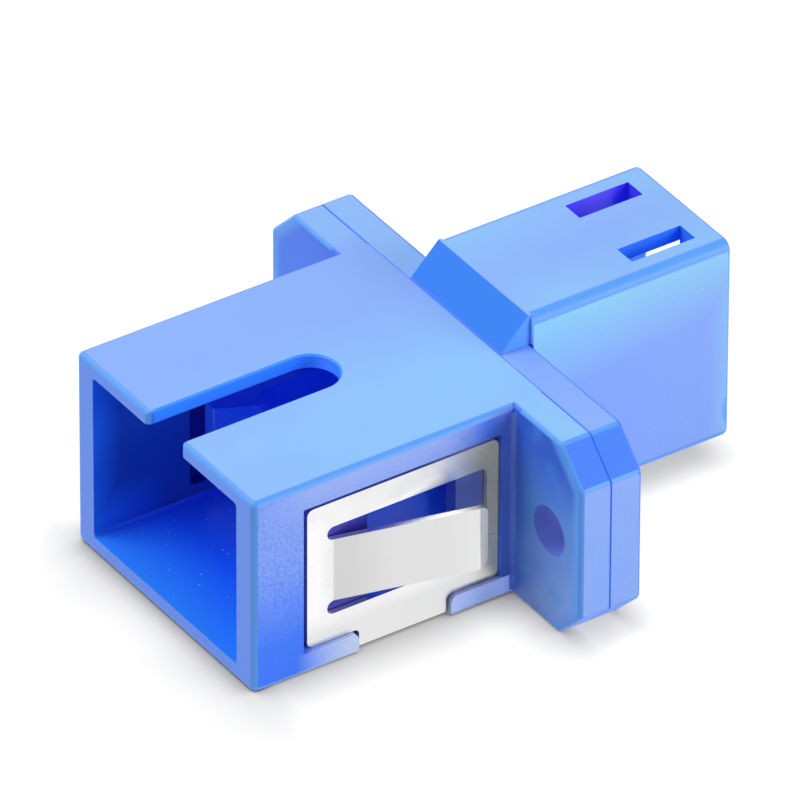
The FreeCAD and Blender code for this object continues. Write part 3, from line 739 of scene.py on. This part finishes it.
FLOOR_SIZE = 1.2
FLOOR_SHADE = (0.80, 0.80, 0.80, 1)     # white that the floor throws back on the object
SEEN_SHADE = (0.12, 0.12, 0.12, 1)      # share of it that is looked at; the rest there is a plain glow
FLOOR_GLOW = 0.98
BACKDROP = 1.0            # strength of the surround where it is seen
SKY_SAMPLES = 16

LAMP_DISTANCE = 0.40
LAMP_SIZE = 0.30
LAMPS = (                 # name, azimuth, elevation, power
    ("side_box", 129, 12, 1.67),
    ("front_box", 328, 52, 1.30),
    ("far_box", 262, 32, 0.40),
    ("top_box", 60, 85, 0.15),
)


# the close shade on the floor, in millimetres: how far it reaches, and how deep it is
REACH_Y = (-13.0, -11.5, 7.0, 2.8)
REACH_LESS_Y = (-4.0, 2.0, 0.0, 1.4)
REACH_X = (-3.5, -6.5, 1.0, 0.42)
SHADE_Y = (-12.8, -11.5, 1.35, 1.0)
EAR_X = (8.3, 9.3)
EAR_FRONT_Y = (0.1, 0.9)
EAR_BACK_Y = (3.0, 2.4)
EAR_LESS = 0.5


def contact_shade(finish):
    """How dark the floor is close to the object: deepest before the SC mouth, less under the ears."""
    x, y, _ = finish.axes("Object", 1 / MM)
    reach = finish.rescale(y, *REACH_Y) - finish.rescale(y, *REACH_LESS_Y)
    reach = reach * finish.rescale(x, *REACH_X)
    under_ear = finish.rescale(x.absolute(), *EAR_X)
    under_ear = under_ear * finish.rescale(y, *EAR_FRONT_Y) * finish.rescale(y, *EAR_BACK_Y)
    depth = finish.rescale(y, *SHADE_Y) - EAR_LESS * under_ear
    settings = {"samples": SKY_SAMPLES}
    open_sky = finish.node("ShaderNodeAmbientOcclusion", settings, {"Distance": MM * reach}, output="AO")
    return depth * (1 - open_sky)


def lay_floor():
    """White floor that lifts to plain white where the camera or a reflection sees it, shadow kept."""
    mesh = bpy.data.meshes.new("floor")
    plane = bmesh.new()
    bmesh.ops.create_grid(plane, x_segments=1, y_segments=1, size=FLOOR_SIZE / 2)
    bmesh.ops.translate(plane, vec=(0, 0, cad_box[0][2]), verts=plane.verts)
    plane.to_mesh(mesh)
    plane.free()
    floor = bpy.data.objects.new("floor", mesh)
    bpy.context.scene.collection.objects.link(floor)

    finish = Finish(bpy.data.materials.new("floor"))
    seen = finish.seen()
    shade = finish.blend(seen, FLOOR_SHADE, SEEN_SHADE)
    matt = finish.node("ShaderNodeBsdfDiffuse", {}, {"Color": shade})
    strength = FLOOR_GLOW * (seen - finish.ray("Camera") * contact_shade(finish))
    glow = finish.node("ShaderNodeEmission", {}, {"Strength": strength})
    mesh.materials.append(finish.done(finish.node("ShaderNodeAddShader", {}, {0: matt, 1: glow})))


def light_dome():
    """Pale surround for whatever sees or mirrors it; matt surfaces get no light from it."""
    world = bpy.data.worlds.new("surround")
    bpy.context.scene.world = world
    finish = Finish(world)
    surround = finish.node("ShaderNodeBackground", {}, {"Strength": BACKDROP * finish.seen()})
    finish.done(surround, "ShaderNodeOutputWorld")


def soft_lamp(name, azimuth, elevation, power):
    """Square soft box aimed at the object."""
    data = bpy.data.lights.new(name, "AREA")
    data.shape = "SQUARE"
    data.size = LAMP_SIZE
    data.energy = power
    lamp = bpy.data.objects.new(name, data)
    bpy.context.scene.collection.objects.link(lamp)
    towards = around(math.radians(azimuth), math.radians(elevation))
    turn = towards.to_track_quat("Z", "Y").to_matrix().to_4x4()
    lamp.matrix_world = Matrix.Translation(towards * LAMP_DISTANCE) @ turn


lay_floor()
light_dome()
for lamp_row in LAMPS:
    soft_lamp(*lamp_row)
